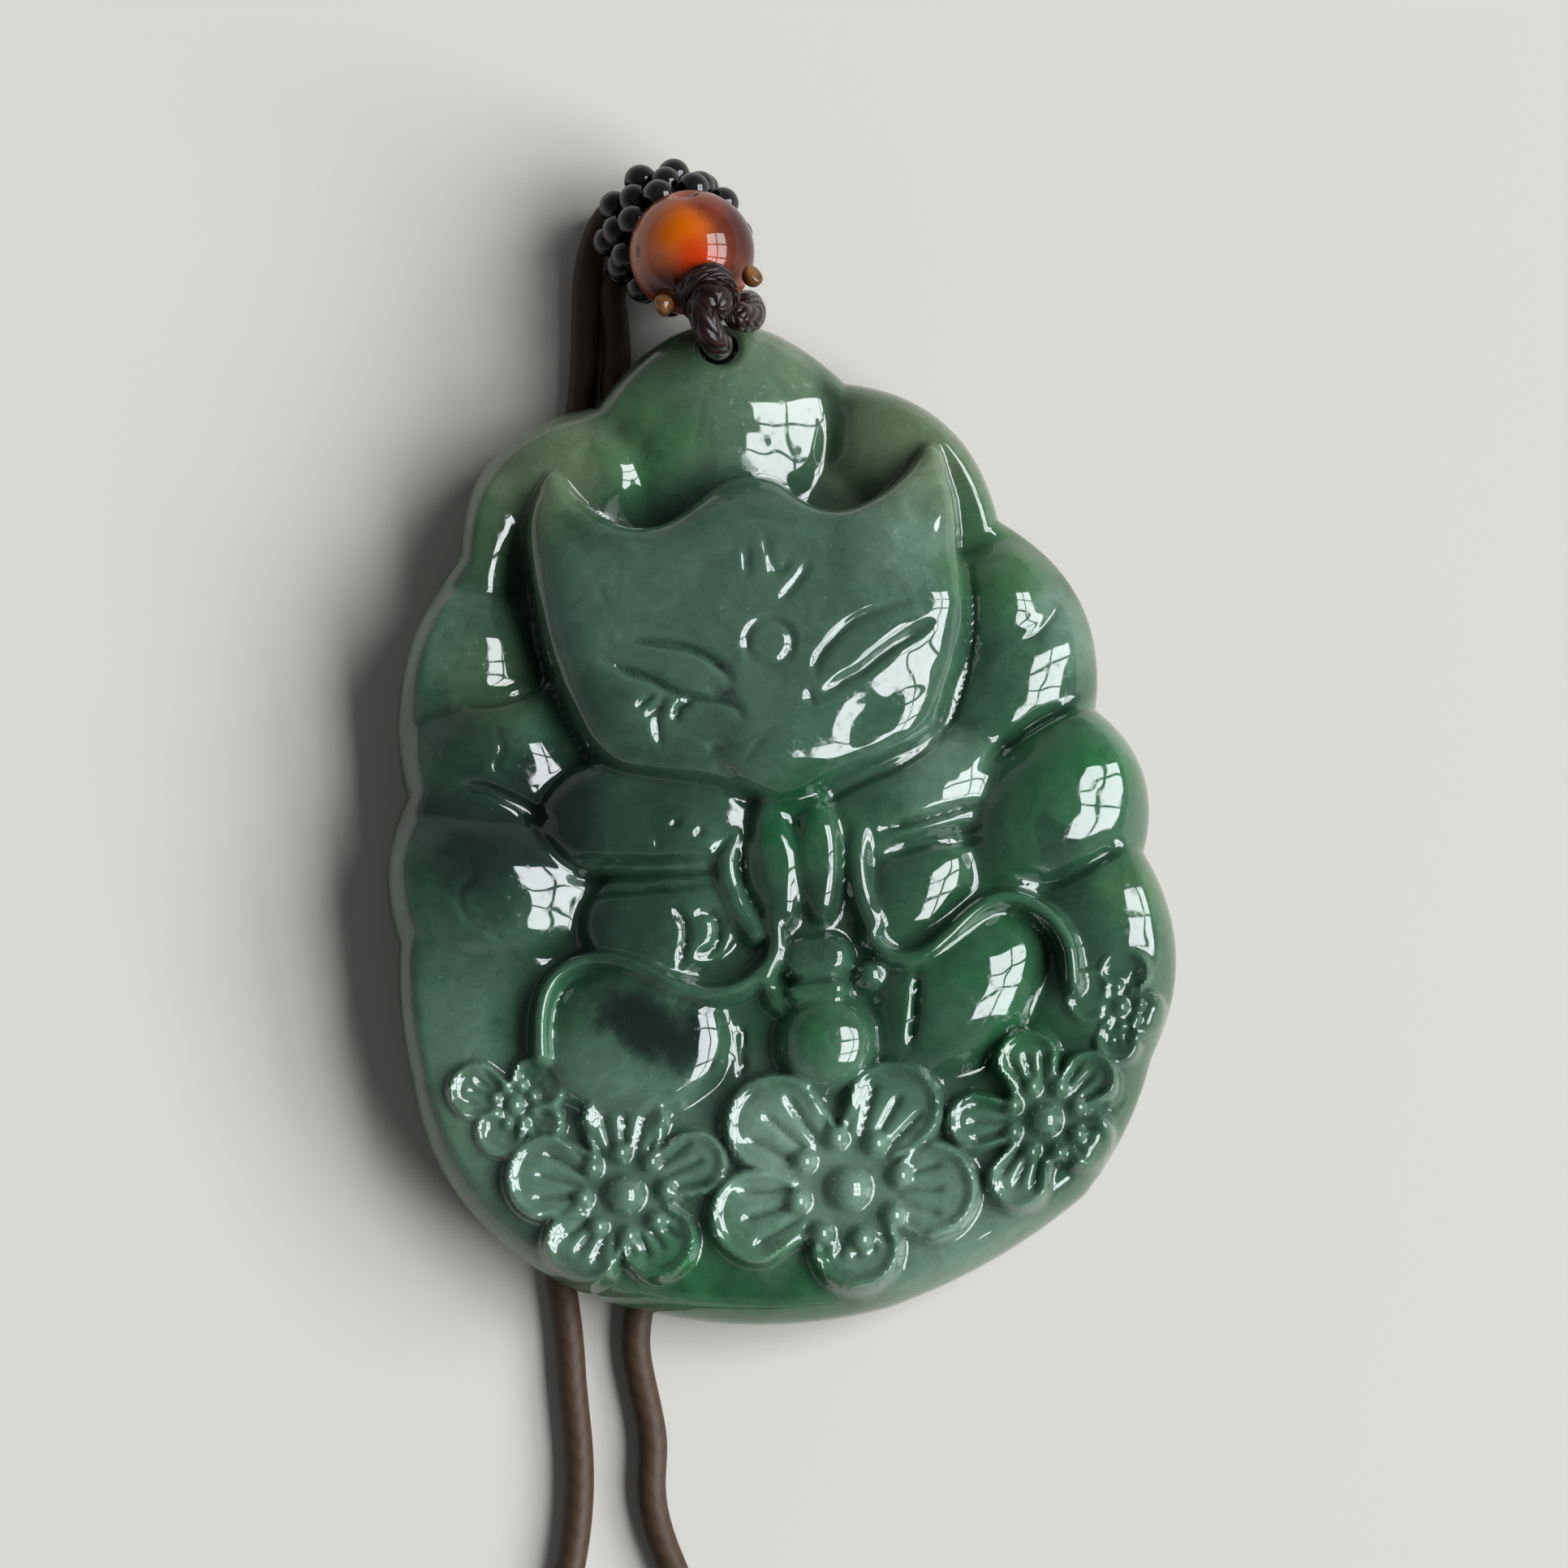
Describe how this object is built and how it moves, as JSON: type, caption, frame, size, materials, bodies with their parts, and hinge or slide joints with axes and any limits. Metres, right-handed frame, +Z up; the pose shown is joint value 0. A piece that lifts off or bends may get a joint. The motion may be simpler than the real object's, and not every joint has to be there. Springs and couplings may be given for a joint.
{
  "type": "jade pendant",
  "caption": "Carved jade pendant of a nine-tailed fox among plum blossoms, hung by a braided loop, an agate bead and a woven bead ring from a long cord.",
  "frame": {"origin": "on the surface the pendant lies on, under the middle of the jade plate", "axes": "+Z up from the surface out of the carved face, +Y towards the pendant's hole and bead, +X to the right"},
  "size_m": [0.1332, 0.2429, 0.0109],
  "materials": {
    "jade": "polished, slightly translucent mottled green",
    "agate": "polished, mottled orange to brown",
    "seed_beads": "glossy black",
    "braided_cord": "fine braid, dark purple brown, slight sheen",
    "necklace_cord": "waxed cord, dark brown",
    "melted_end": "melted cord end, golden tan"
  },
  "bodies": {
    "root": {"jade_pendant": "jade", "hanging_loop": "braided_cord", "wrap_knot": "braided_cord", "cord_end_left": "melted_end", "cord_end_right": "melted_end", "agate_bead": "agate", "bead_thread": "braided_cord", "bail_ring": "seed_beads", "necklace_cord": "necklace_cord", "closure_knot": "necklace_cord"}
  },
  "joints": []
}
